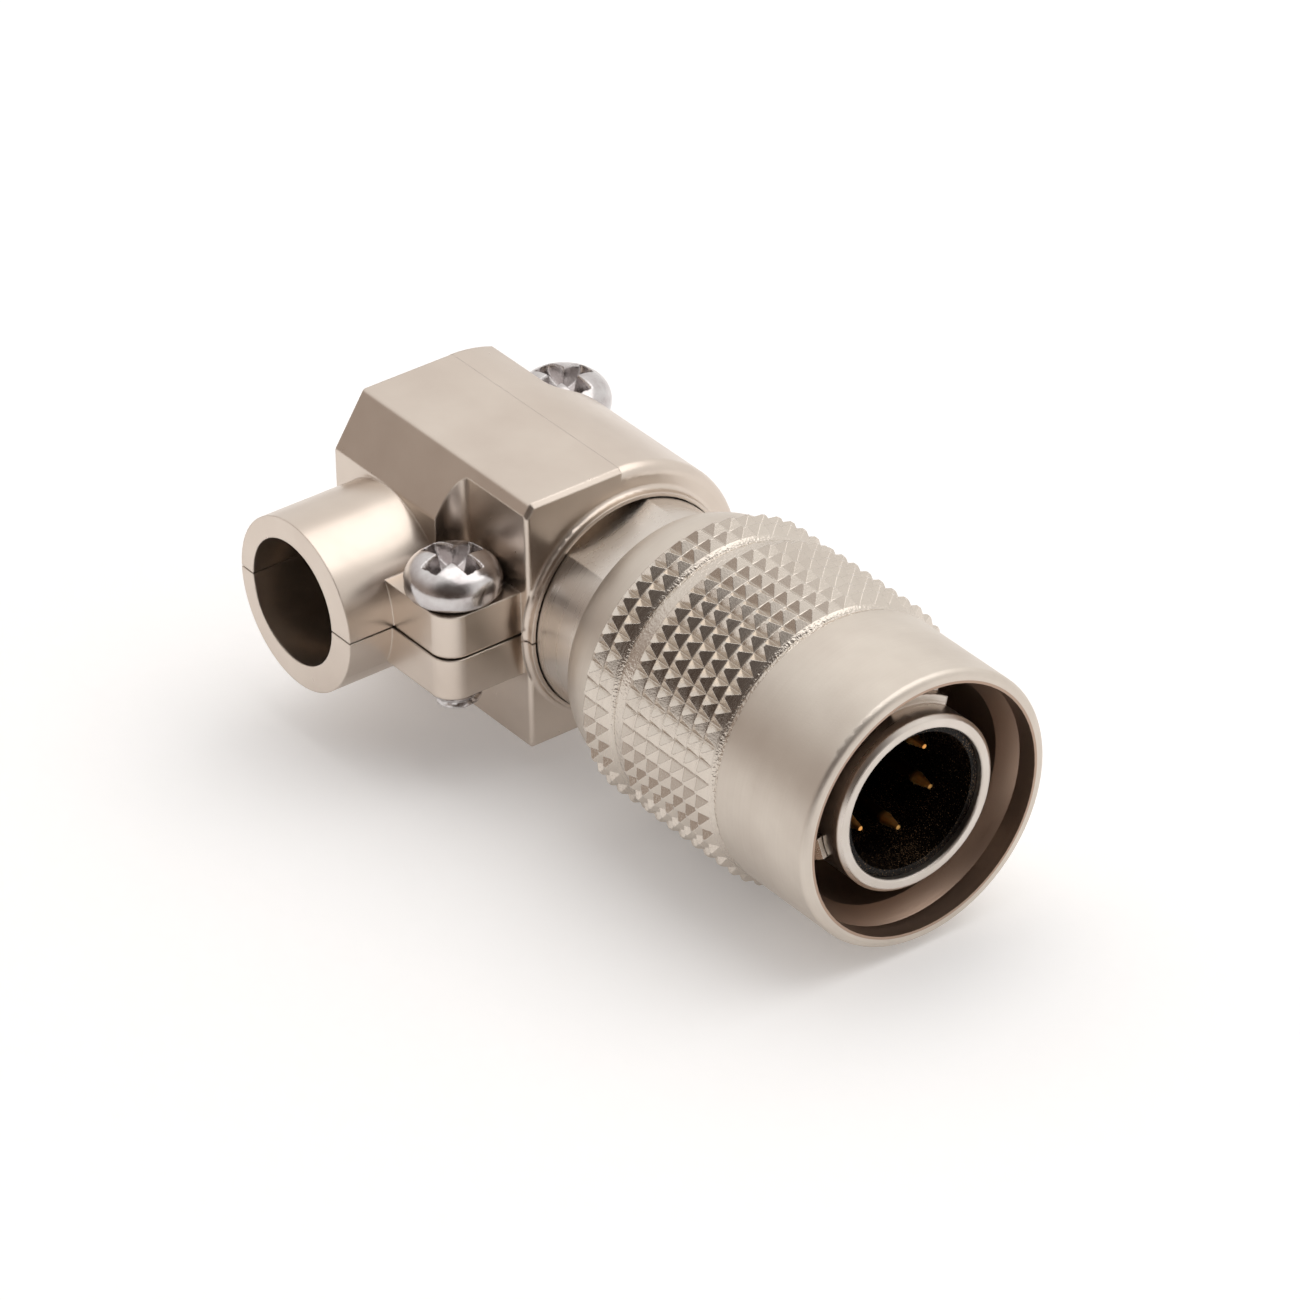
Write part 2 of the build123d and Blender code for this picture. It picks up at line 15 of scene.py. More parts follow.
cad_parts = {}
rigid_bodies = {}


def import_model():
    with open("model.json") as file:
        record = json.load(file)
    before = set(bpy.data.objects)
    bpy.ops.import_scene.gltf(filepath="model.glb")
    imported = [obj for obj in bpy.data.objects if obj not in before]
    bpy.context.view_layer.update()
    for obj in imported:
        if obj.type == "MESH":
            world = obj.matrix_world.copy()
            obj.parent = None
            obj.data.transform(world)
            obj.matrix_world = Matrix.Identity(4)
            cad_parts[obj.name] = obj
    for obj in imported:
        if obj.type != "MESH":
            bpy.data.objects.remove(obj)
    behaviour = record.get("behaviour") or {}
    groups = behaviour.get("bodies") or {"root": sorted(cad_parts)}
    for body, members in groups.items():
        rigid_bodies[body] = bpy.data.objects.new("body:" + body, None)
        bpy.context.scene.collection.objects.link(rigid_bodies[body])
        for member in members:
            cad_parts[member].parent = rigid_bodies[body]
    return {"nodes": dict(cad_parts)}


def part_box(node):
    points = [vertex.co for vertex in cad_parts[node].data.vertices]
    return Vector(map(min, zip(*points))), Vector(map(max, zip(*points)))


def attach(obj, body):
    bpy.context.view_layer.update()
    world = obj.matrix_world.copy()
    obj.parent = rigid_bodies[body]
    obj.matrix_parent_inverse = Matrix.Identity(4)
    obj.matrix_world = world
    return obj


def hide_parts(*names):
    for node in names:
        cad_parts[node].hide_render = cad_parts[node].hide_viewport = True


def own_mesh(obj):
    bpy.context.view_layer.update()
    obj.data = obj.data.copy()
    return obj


MM = 0.001
log = logging.getLogger("connector")

# A noise runs from 0 to 1, and nearly all its values lie between these
NOISE_LOW = 0.3
NOISE_HIGH = 0.7

# Inputs of a colour mix, and its output
MIX_FACTOR = 0
MIX_FIRST = 6
MIX_SECOND = 7
MIX_RESULT = 2

# Sharper folds than this stay sharp in a smooth-shaded mesh
SHARP_ANGLE = math.radians(38)


def linear(hex_colour: str) -> tuple[float, float, float, float]:
    """Turns an sRGB hex colour into linear red, green, blue and alpha.

    Args:
        hex_colour: six hex digits with a leading #.

    Returns:
        The linear colour with an alpha of 1.
    """
    parts = [int(hex_colour[start:start + 2], 16) / 255 for start in (1, 3, 5)]
    channels = [part / 12.92 if part <= 0.04045 else ((part + 0.055) / 1.055) ** 2.4 for part in parts]
    return (*channels, 1.0)


def add_node(
    tree: bpy.types.NodeTree,
    kind: str,
    settings: dict[str | int, object] | None = None,
    links: dict[str | int, bpy.types.NodeSocket] | None = None,
) -> bpy.types.Node:
    """Adds one node to a tree.

    Args:
        tree: the tree that gets the node.
        kind: the node's type, without its leading ShaderNode.
        settings: the node's own options by name, and values for its inputs by name or number.
        links: the outputs that feed its inputs, by input name or number.

    Returns:
        The new node.
    """
    node = tree.nodes.new("ShaderNode" + kind)
    for key, value in (settings or {}).items():
        if isinstance(key, str) and key in node.bl_rna.properties:
            setattr(node, key, value)
        else:
            node.inputs[key].default_value = value
    for key, output in (links or {}).items():
        tree.links.new(output, node.inputs[key])
    return node


def mesh_object(name: str, points: list[Vector], faces: list[tuple[int, ...]]) -> bpy.types.Object:
    """Makes a smooth-shaded mesh object in the row frame.

    Args:
        name: the piece's name.
        points: its vertices in metres.
        faces: its faces as vertex numbers.

    Returns:
        The new object, linked to the scene.
    """
    mesh = bpy.data.meshes.new(name)
    mesh.from_pydata([tuple(point) for point in points], [], faces)
    mesh.shade_smooth()
    mesh.set_sharp_from_angle(angle=SHARP_ANGLE)
    piece = bpy.data.objects.new(name, mesh)
    bpy.context.scene.collection.objects.link(piece)
    return piece


def lathe_faces(rings: int, steps: int) -> list[tuple[int, ...]]:
    """Quads between rings of steps vertices each, closed round the ring and with a fan at both ends.

    Args:
        rings: how many rings there are.
        steps: how many vertices each ring has.

    Returns:
        The faces, for vertices listed ring by ring.
    """
    faces = []
    for ring in range(rings - 1):
        for step in range(steps):
            ahead = (step + 1) % steps
            low = ring * steps
            faces.append((low + step, low + ahead, low + steps + ahead, low + steps + step))
    faces.append(tuple(reversed(range(steps))))
    faces.append(tuple((rings - 1) * steps + step for step in range(steps)))
    return faces


class Lay(Enum):
    """Which way the tool marks of a turned or brushed surface run."""

    NONE = "none"
    ROUND_MATING_AXIS = "round the mating axis"


@dataclass(frozen=True)
class Finish:
    """A plated or moulded surface with cloudy tone, grain, tool marks and softly broken edges.

    Lengths are in millimetres and roughnesses are the shader's. The photograph shows about 28 pixels to the
    millimetre, so a pattern has to be some 0.05 mm or coarser to show.
    """

    name: str
    colour: str
    tone: str
    metallic: float
    roughness: float
    roughness_spread: float
    cloud: float
    grain: float
    grain_height: float
    edge_radius: float
    lay: Lay = Lay.NONE
    mark_spacing: float = 0.1
    mark_height: float = 0.0
    mark_drift: float = 0.02
    specular: float = 0.5

    def material(self) -> bpy.types.Material:
        """Builds the finish as a node material.

        Returns:
            The material.
        """
        made = bpy.data.materials.new(self.name)
        made.use_nodes = True
        tree = made.node_tree
        tree.nodes.clear()
        place = self.place_in_mm(tree)
        cloud = add_node(tree, "TexNoise", {"Scale": 1 / self.cloud, "Detail": 3.0}, {"Vector": place})
        cloud_share = add_node(
            tree, "MapRange",
            {"clamp": False, "From Min": NOISE_LOW, "From Max": NOISE_HIGH},
            {"Value": cloud.outputs["Fac"]},
        )
        colour = add_node(
            tree, "Mix",
            {"data_type": "RGBA", MIX_FIRST: linear(self.colour), MIX_SECOND: linear(self.tone)},
            {MIX_FACTOR: cloud_share.outputs[0]},
        )
        normal, grain = self.relief(tree, place)
        rough = add_node(
            tree, "MapRange",
            {
                "clamp": False,
                "From Min": NOISE_LOW,
                "From Max": NOISE_HIGH,
                "To Min": self.roughness - self.roughness_spread,
                "To Max": self.roughness + self.roughness_spread,
            },
            {"Value": grain},
        )
        shader = add_node(
            tree, "BsdfPrincipled",
            {"Metallic": self.metallic, "Specular IOR Level": self.specular},
            {
                "Base Color": self.recolour(tree, place, colour.outputs[MIX_RESULT]),
                "Roughness": rough.outputs[0],
                "Normal": normal,
            },
        )
        add_node(tree, "OutputMaterial", links={"Surface": shader.outputs[0]})
        return made

    def place_in_mm(self, tree: bpy.types.NodeTree) -> bpy.types.NodeSocket:
        """The row frame's coordinates in millimetres, so that a pattern's scale is 1 / its size.

        Args:
            tree: the material's tree.

        Returns:
            The coordinates.
        """
        where = add_node(tree, "TexCoord")
        scaled = add_node(
            tree, "VectorMath", {"operation": "SCALE", "Scale": 1 / MM}, {0: where.outputs["Object"]}
        )
        return scaled.outputs[0]

    def parts_and_radius(
        self, tree: bpy.types.NodeTree, place: bpy.types.NodeSocket
    ) -> tuple[bpy.types.NodeOutputs, bpy.types.NodeSocket]:
        """Splits a place into X, Y and Z and measures how far it lies from the mating axis.

        Args:
            tree: the material's tree.
            place: coordinates in millimetres.

        Returns:
            The outputs X, Y and Z, and the distance.
        """
        parts = add_node(tree, "SeparateXYZ", links={0: place})
        flat = add_node(tree, "CombineXYZ", links={1: parts.outputs["Y"], 2: parts.outputs["Z"]})
        radius = add_node(tree, "VectorMath", {"operation": "LENGTH"}, {0: flat.outputs[0]})
        return parts.outputs, radius.outputs["Value"]

    def relief(
        self, tree: bpy.types.NodeTree, place: bpy.types.NodeSocket
    ) -> tuple[bpy.types.NodeSocket, bpy.types.NodeSocket]:
        """Broken edges, grain and tool marks as one normal.

        Args:
            tree: the material's tree.
            place: coordinates in millimetres.

        Returns:
            The normal, and the grain's value for the roughness.
        """
        edges = add_node(tree, "Bevel", {"samples": 4, "Radius": self.edge_radius * MM})
        grain = add_node(tree, "TexNoise", {"Scale": 1 / self.grain, "Detail": 2.0}, {"Vector": place})
        normal = add_node(
            tree, "Bump", {"Strength": 1.0, "Distance": self.grain_height * MM},
            {"Height": grain.outputs["Fac"], "Normal": edges.outputs[0]},
        )
        if self.lay is Lay.NONE:
            return normal.outputs[0], grain.outputs["Fac"]
        marks = add_node(
            tree, "TexNoise", {"Scale": 1.0, "Detail": 3.0}, {"Vector": self.across_the_marks(tree, place)}
        )
        marked = add_node(
            tree, "Bump", {"Strength": 1.0, "Distance": self.mark_height * MM},
            {"Height": marks.outputs["Fac"], "Normal": normal.outputs[0]},
        )
        return marked.outputs[0], marks.outputs["Fac"]

    def across_the_marks(
        self, tree: bpy.types.NodeTree, place: bpy.types.NodeSocket
    ) -> bpy.types.NodeSocket:
        """Coordinates that change fast across the tool marks and slowly along them.

        Args:
            tree: the material's tree.
            place: coordinates in millimetres.

        Returns:
            A vector of place along the axis, distance from it, and a slow drift round it.
        """
        parts, radius = self.parts_and_radius(tree, place)
        drift = add_node(tree, "Math", {"operation": "MULTIPLY", 1: self.mark_drift}, {0: parts["Y"]})
        lined = add_node(tree, "CombineXYZ", links={0: parts["X"], 1: radius, 2: drift.outputs[0]})
        scaled = add_node(
            tree, "VectorMath", {"operation": "SCALE", "Scale": 1 / self.mark_spacing}, {0: lined.outputs[0]}
        )
        return scaled.outputs[0]

    def recolour(
        self, tree: bpy.types.NodeTree, place: bpy.types.NodeSocket, colour: bpy.types.NodeSocket
    ) -> bpy.types.NodeSocket:
        """Hook for a finish that adds its own marks to the colour; the plain finish leaves it as it is."""
        return colour


@dataclass(frozen=True)
class DustyFinish(Finish):
    """A dark glossy moulding with the fine pale dust that it holds by static."""

    dust: str = "#8d7358"
    speck: float = 0.045
    patch: float = 1.6
    patch_effect: float = 0.25
    dust_share: float = 0.66
    speck_edge: float = 0.05

    def recolour(
        self, tree: bpy.types.NodeTree, place: bpy.types.NodeSocket, colour: bpy.types.NodeSocket
    ) -> bpy.types.NodeSocket:
        """Lays specks over the colour, thicker in some patches.

        Args:
            tree: the material's tree.
            place: coordinates in millimetres.
            colour: the clean colour.

        Returns:
            The dusty colour.
        """
        specks = add_node(tree, "TexNoise", {"Scale": 1 / self.speck, "Detail": 1.0}, {"Vector": place})
        patches = add_node(tree, "TexNoise", {"Scale": 1 / self.patch, "Detail": 1.0}, {"Vector": place})
        together = add_node(
            tree, "Math",
            {"operation": "MULTIPLY_ADD", 1: self.patch_effect, 2: -self.patch_effect / 2},
            {0: patches.outputs["Fac"]},
        )
        raised = add_node(
            tree, "Math", {"operation": "ADD"}, {0: specks.outputs["Fac"], 1: together.outputs[0]}
        )
        share = add_node(
            tree, "MapRange",
            {"From Min": self.dust_share, "From Max": self.dust_share + self.speck_edge},
            {"Value": raised.outputs[0]},
        )
        dusty = add_node(
            tree, "Mix", {"data_type": "RGBA", MIX_SECOND: linear(self.dust)},
            {MIX_FACTOR: share.outputs[0], MIX_FIRST: colour},
        )
        return dusty.outputs[MIX_RESULT]


@dataclass(frozen=True)
class KnurledFinish(Finish):
    """Satin nickel whose knurl is freshly cut, with floors that the tool tore, and with a painted browner shade
    in its bore that stands in for the dark reflections there.
    """

    floor_front_x: float = -4.5
    floor_rear_x: float = -12.217
    all_torn_radius: float = 5.45
    last_torn_radius: float = 5.56
    torn_grain: float = 0.12
    torn_height: float = 0.05
    cut_polish: float = 0.8
    bore_radius: float = 5.1
    bore_rear_x: float = -8.0
    # Painted shade: the bore's browner tone stands in for the dark reflections in the bore
    bore_painted_shade: str = "#b39b8a"

    def relief(
        self, tree: bpy.types.NodeTree, place: bpy.types.NodeSocket
    ) -> tuple[bpy.types.NodeSocket, bpy.types.NodeSocket]:
        """Adds a coarse torn grain in the knurl's floor and makes its cut facets smoother than the rest.

        Args:
            tree: the material's tree.
            place: coordinates in millimetres.

        Returns:
            The normal, and the grain's value for the roughness.
        """
        normal, grain = super().relief(tree, place)
        parts, radius = self.parts_and_radius(tree, place)
        deep = add_node(
            tree, "MapRange",
            {"From Min": self.all_torn_radius, "From Max": self.last_torn_radius, "To Min": 1.0, "To Max": 0.0},
            {"Value": radius},
        )
        middle = (self.floor_front_x + self.floor_rear_x) / 2
        reach = (self.floor_front_x - self.floor_rear_x) / 2
        within = add_node(tree, "Math", {"operation": "COMPARE", 1: middle, 2: reach}, {0: parts["X"]})
        torn = add_node(tree, "TexNoise", {"Scale": 1 / self.torn_grain, "Detail": 2.0}, {"Vector": place})
        share = add_node(
            tree, "Math", {"operation": "MULTIPLY"}, {0: deep.outputs[0], 1: within.outputs[0]}
        )
        height = add_node(
            tree, "Math", {"operation": "MULTIPLY"}, {0: torn.outputs["Fac"], 1: share.outputs[0]}
        )
        rough = add_node(
            tree, "Bump", {"Strength": 1.0, "Distance": self.torn_height * MM},
            {"Height": height.outputs[0], "Normal": normal},
        )
        cut = add_node(
            tree, "Math", {"operation": "MULTIPLY_ADD", 1: -self.cut_polish}, {0: within.outputs[0], 2: grain}
        )
        return rough.outputs[0], cut.outputs[0]

    def recolour(
        self, tree: bpy.types.NodeTree, place: bpy.types.NodeSocket, colour: bpy.types.NodeSocket
    ) -> bpy.types.NodeSocket:
        """Paints a browner shade into the sleeve's bore, standing in for the dark reflections that the bore
        shows.

        Args:
            tree: the material's tree.
            place: coordinates in millimetres.
            colour: the outside's colour.

        Returns:
            The colour with the painted shade inside the bore's radius.
        """
        parts, radius = self.parts_and_radius(tree, place)
        inside = add_node(tree, "Math", {"operation": "LESS_THAN", 1: self.bore_radius}, {0: radius})
        ahead = add_node(tree, "Math", {"operation": "GREATER_THAN", 1: self.bore_rear_x}, {0: parts["X"]})
        in_bore = add_node(
            tree, "Math", {"operation": "MULTIPLY"}, {0: inside.outputs[0], 1: ahead.outputs[0]}
        )
        # Mixes the painted shade into the bore
        painted_bore_shade = add_node(
            tree, "Mix", {"data_type": "RGBA", MIX_SECOND: linear(self.bore_painted_shade)},
            {MIX_FACTOR: in_bore.outputs[0], MIX_FIRST: colour},
        )
        return painted_bore_shade.outputs[MIX_RESULT]


@dataclass(frozen=True)
class GoldWithPaintedShankShade(Finish):
    """Gold whose taper tips stay bright, with a painted dark shade on the shank that stands in for the dark cup
    it reflects.
    """

    taper_end_x: float = -2.07
    fade: float = 0.25
    # Painted shade: the shank's dark brown stands in for the dark cup that it reflects
    shank_painted_shade: str = "#5c3a1c"

    def recolour(
        self, tree: bpy.types.NodeTree, place: bpy.types.NodeSocket, colour: bpy.types.NodeSocket
    ) -> bpy.types.NodeSocket:
        """Paints a dark shade on the shank behind the taper, standing in for the dark cup that it reflects.

        Args:
            tree: the material's tree.
            place: coordinates in millimetres.
            colour: the bright gold.

        Returns:
            The gold with the painted shade on the shank.
        """
        parts = add_node(tree, "SeparateXYZ", links={0: place})
        tip = add_node(
            tree, "MapRange",
            {"From Min": self.taper_end_x - self.fade, "From Max": self.taper_end_x},
            {"Value": parts.outputs["X"]},
        )
        painted_shank_shade = add_node(
            tree, "Mix", {"data_type": "RGBA", MIX_FIRST: linear(self.shank_painted_shade)},
            {MIX_FACTOR: tip.outputs[0], MIX_SECOND: colour},
        )
        return painted_shank_shade.outputs[MIX_RESULT]


# Turned brass, tumbled and satin nickel plated: a soft warm grey with a fine even grain. Tumbling leaves a
# grain of about 0.02 mm and the tool a mark each 0.05 mm: both are drawn coarser so that they show
SATIN_NICKEL = KnurledFinish(
    name="satin_nickel_plate",
    colour="#d8cfc4",
    tone="#cfc5ba",
    metallic=1.0,
    roughness=0.44,
    roughness_spread=0.05,
    cloud=2.2,
    grain=0.07,
    grain_height=0.004,
    edge_radius=0.035,
    lay=Lay.ROUND_MATING_AXIS,
    mark_spacing=0.09,
    mark_height=0.0025,
)

# Zinc die casting, polished and nickel plated: gentle waves of 0.4 mm and a browner, glossier tone, with
# edges that the polishing wheel has rounded by about 0.1 mm
CAST_NICKEL = Finish(
    name="nickel_on_die_casting",
    colour="#d8ccc0",
    tone="#d0c3b7",
    metallic=1.0,
    roughness=0.3,
    roughness_spread=0.02,
    cloud=2.6,
    grain=0.4,
    grain_height=0.0002,
    edge_radius=0.09,
)

# Turned brass with bright nickel: fine rings from the lathe under a glossy plate. The real rings are about
# 0.04 mm apart and are drawn coarser so that they show
BRIGHT_NICKEL = Finish(
    name="bright_nickel_plate",
    colour="#dad2ca",
    tone="#d0c7bd",
    metallic=1.0,
    roughness=0.3,
    roughness_spread=0.04,
    cloud=1.6,
    grain=0.05,
    grain_height=0.0012,
    edge_radius=0.1,
    lay=Lay.ROUND_MATING_AXIS,
    mark_spacing=0.07,
    mark_height=0.0014,
)

# Machine screw steel, cold headed and zinc plated: cooler and brighter than the nickel, and slightly dented
SCREW_STEEL = Finish(
    name="bright_screw_steel",
    colour="#d2cfce",
    tone="#bdb6b5",
    metallic=1.0,
    roughness=0.2,
    roughness_spread=0.04,
    cloud=0.5,
    grain=0.2,
    grain_height=0.003,
    edge_radius=0.07,
)

# Stamped and wound stainless spring stock, drawn bright: a smooth sheen with faint die marks, whose real
# width of about 0.01 mm is drawn coarser so that it shows
SPRING_STEEL = Finish(
    name="bright_spring_steel",
    colour="#cbc4bb",
    tone="#b5ada3",
    metallic=1.0,
    roughness=0.24,
    roughness_spread=0.05,
    cloud=1.1,
    grain=0.05,
    grain_height=0.002,
    edge_radius=0.03,
)

# Glass-filled moulding, near black and glossy from the polished mould. Its dust specks are about 0.02 mm and
# are drawn coarser so that they show
INSULATOR_BLACK = DustyFinish(
    name="moulded_black_insulator",
    colour="#0b0807",
    tone="#120d0a",
    metallic=0.0,
    roughness=0.28,
    roughness_spread=0.05,
    cloud=1.2,
    grain=0.08,
    grain_height=0.002,
    edge_radius=0.04,
    specular=0.12,
)

# The pins' shanks get a painted dark shade behind the taper
# Turned contact with hard gold over nickel: warm amber with a fine turned grain, drawn twice as coarse as
# the real 0.02 mm so that it shows
CONTACT_GOLD = GoldWithPaintedShankShade(
    name="hard_gold_plate",
    colour="#ffc878",
    tone="#fab060",
    metallic=1.0,
    roughness=0.42,
    roughness_spread=0.05,
    cloud=0.4,
    grain=0.04,
    grain_height=0.0015,
    edge_radius=0.02,
)


@dataclass
class DressedNodes:
    """CAD nodes whose shape is kept and that get a better finish."""

    finish: Finish
    nodes: tuple[str, ...]

    def dress(self, frame_nodes: dict[str, bpy.types.Object]) -> None:
        """Puts the finish on every material slot of the nodes.

        Args:
            frame_nodes: the frame's node objects by name.
        """
        made = self.finish.material()
        for name in self.nodes:
            for slot in frame_nodes[name].material_slots:
                slot.material = made
            log.info("dressed %s with %s", name, self.finish.name)


@dataclass
class ClampScrew:
    """M2 pan head screw with a worn cross recess and a real thread, in place of a plain CAD screw.

    Lengths are in millimetres. Its place, height and radii come from the CAD node's box.
    """

    node: str
    turn: float
    head_height: float = 1.57
    head_edge: float = 0.5
    dome_fullness: float = 2.6
    under_head_round: float = 0.3
    under_head_rings: int = 4
    thread_pitch: float = 0.4
    thread_depth: float = 0.22
    levels_per_pitch: int = 8
    shank_radius: float = 0.99
    tip_taper: float = 0.3
    wing_half_width: float = 0.33
    wing_reach: float = 1.22
    recess_depth: float = 0.95
    recess_slope: float = 0.17
    steps: int = 144
    head_rings: int = 56

    def dome(self, radius: float, reach: float) -> float:
        """Height of the plain domed head over its edge at a distance from its axis."""
        share = max(0.0, 1 - (radius / reach) ** self.dome_fullness)
        return (self.head_height - self.head_edge) * share ** 0.5

    def recess(self, radius: float, angle: float) -> float:
        """Depth of the cross recess under the dome.

        Args:
            radius: distance from the screw's axis.
            angle: angle round it, in radians.

        Returns:
            How far the surface lies under the plain dome.
        """
        along = max(abs(radius * math.cos(angle)), abs(radius * math.sin(angle)))
        aside = min(abs(radius * math.cos(angle)), abs(radius * math.sin(angle)))
        floor = self.recess_depth * math.sqrt(max(0.0, 1 - (along / self.wing_reach) ** 2))
        # The wall is centred on the wing's side and has soft ends
        inside = (self.wing_half_width - aside) / self.recess_slope + 0.5
        share = min(1.0, max(0.0, inside))
        return floor * share * share * (3 - 2 * share)

    def build(self, material: bpy.types.Material) -> bpy.types.Object:
        """Builds the screw in place of its CAD node.

        Args:
            material: the screw's finish.

        Returns:
            The finished piece.
        """
        low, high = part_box(self.node)
        centre = ((Vector(low) + Vector(high)) / 2).xy / MM
        reach = (high[0] - low[0]) / 2 / MM
        tip_z = low[2] / MM
        top_z = self.head_top(high[2] / MM, reach)
        edge_z = top_z - self.head_height + self.head_edge
        seat_z = top_z - self.head_height
        rings = [self.head_ring(number, reach, edge_z) for number in range(1, self.head_rings + 1)]
        rings.extend(self.under_head(reach, seat_z))
        rings.append([(self.shank_radius, seat_z)] * self.steps)
        rings.extend(self.thread_rings(seat_z, tip_z))
        points = []
        for ring in rings:
            for step, (radius, height) in enumerate(ring):
                angle = math.radians(self.turn) + 2 * math.pi * step / self.steps
                across, along = radius * math.cos(angle), radius * math.sin(angle)
                points.append(Vector((centre.x + across, centre.y + along, height)) * MM)
        faces = [tuple(reversed(face)) for face in lathe_faces(len(rings), self.steps)]
        piece = mesh_object(self.node + "_threaded", points, faces)
        piece.data.materials.append(material)
        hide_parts(self.node)
        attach(piece, "plug")
        log.info("built %s with %d faces", piece.name, len(faces))
        return piece

    def head_top(self, box_top: float, reach: float) -> float:
        """Height of the dome's own top, which the recess cuts away.

        Args:
            box_top: height of the CAD screw's highest point, where two wings of the recess meet.
            reach: the head's radius.

        Returns:
            The height of the uncut dome's top.
        """
        corner = math.hypot(self.wing_half_width, self.wing_half_width)
        return box_top + self.head_height - self.head_edge - self.dome(corner, reach)

    def head_ring(self, number: int, reach: float, edge_z: float) -> list[tuple[float, float]]:
        """One ring of the domed head with the recess cut into it.

        Args:
            number: the ring's number, counted from the middle outwards.
            reach: the head's radius.
            edge_z: height of the head's edge.

        Returns:
            A radius and height for each step round the ring.
        """
        radius = reach * math.sin(math.pi / 2 * number / self.head_rings)
        dome = self.dome(radius, reach)
        ring = []
        for step in range(self.steps):
            angle = 2 * math.pi * step / self.steps
            ring.append((radius, edge_z + dome - min(self.recess(radius, angle), dome + self.head_edge / 2)))
        return ring

    def under_head(self, reach: float, seat_z: float) -> list[list[tuple[float, float]]]:
        """Rings of the rounding between the head's edge and its seat.

        Args:
            reach: the head's radius.
            seat_z: height of the head's underside.

        Returns:
            A ring of radius and height pairs for each step of the rounding.
        """
        rings = []
        for number in range(self.under_head_rings + 1):
            fall = math.pi / 2 * number / self.under_head_rings
            inset = self.under_head_round * (1 - math.cos(fall))
            height = seat_z + self.under_head_round * (1 - math.sin(fall))
            rings.append([(reach - inset, height)] * self.steps)
        return rings

    def thread_rings(self, seat_z: float, tip_z: float) -> list[list[tuple[float, float]]]:
        """Rings down the shank whose radius follows the helix of the thread.

        Args:
            seat_z: height of the head's underside.
            tip_z: height of the shank's end.

        Returns:
            A ring of radius and height pairs for each level.
        """
        levels = round((seat_z - tip_z) / self.thread_pitch * self.levels_per_pitch)
        rings = []
        for level in range(levels + 1):
            height = seat_z + (tip_z - seat_z) * level / levels
            fullness = min(1.0, (height - tip_z) / self.thread_pitch)
            ring = []
            for step in range(self.steps):
                phase = (height / self.thread_pitch - step / self.steps) % 1
                groove = self.thread_depth * (1 - abs(2 * phase - 1))
                ring.append((self.shank_radius - groove - self.tip_taper * (1 - fullness), height))
            rings.append(ring)
        return rings


@dataclass
class ReturnSpring:
    """Round wire compression spring with closed ends, in place of the plain CAD coil.

    Lengths are in millimetres. Its place, length and radius come from the CAD node's box.
    """

    node: str = "return_spring"
    wire: float = 0.5
    free_turns: float = 3.0
    closed_turns: float = 1.0
    end_ease: float = 0.12
    stroke: float = 1.8
    steps_per_turn: int = 60
    sides: int = 16

    def rise(self, turn: float, height: float) -> float:
        """How far the wire's middle has climbed after some turns, flat along the closed ends.

        Args:
            turn: turns from the wire's start.
            height: the spring's length.

        Returns:
            The middle's distance from the spring's start.
        """
        share = (turn - self.closed_turns / 2) / self.free_turns
        share = min(1.0, max(0.0, share))
        eased = share - self.end_ease * math.sin(2 * math.pi * share) / (2 * math.pi)
        return self.wire / 2 + eased * (height - self.wire)

    def build(self, material: bpy.types.Material) -> bpy.types.Object:
        """Builds the spring in place of its CAD node.

        Args:
            material: the spring's finish.

        Returns:
            The finished piece.
        """
        low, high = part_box(self.node)
        length = (high[0] - low[0]) / MM
        radius = (high[2] - low[2]) / 2 / MM - self.wire / 2
        turns = self.free_turns + self.closed_turns
        count = round(turns * self.steps_per_turn)
        points = []
        for number in range(count + 1):
            turn = turns * number / count
            angle = 2 * math.pi * turn
            outward = Vector((0, math.cos(angle), math.sin(angle)))
            middle = Vector((low[0] / MM + self.rise(turn, length), 0, 0)) + outward * radius
            for side in range(self.sides):
                around = 2 * math.pi * side / self.sides
                offset = outward * math.cos(around) + Vector((1, 0, 0)) * math.sin(around)
                points.append((middle + offset * self.wire / 2) * MM)
        piece = mesh_object(self.node + "_round_wire", points, lathe_faces(count + 1, self.sides))
        piece.data.materials.append(material)
        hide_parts(self.node)
        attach(piece, "plug")
        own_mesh(piece)
        log.info("built %s with %d points", piece.name, len(points))
        return piece


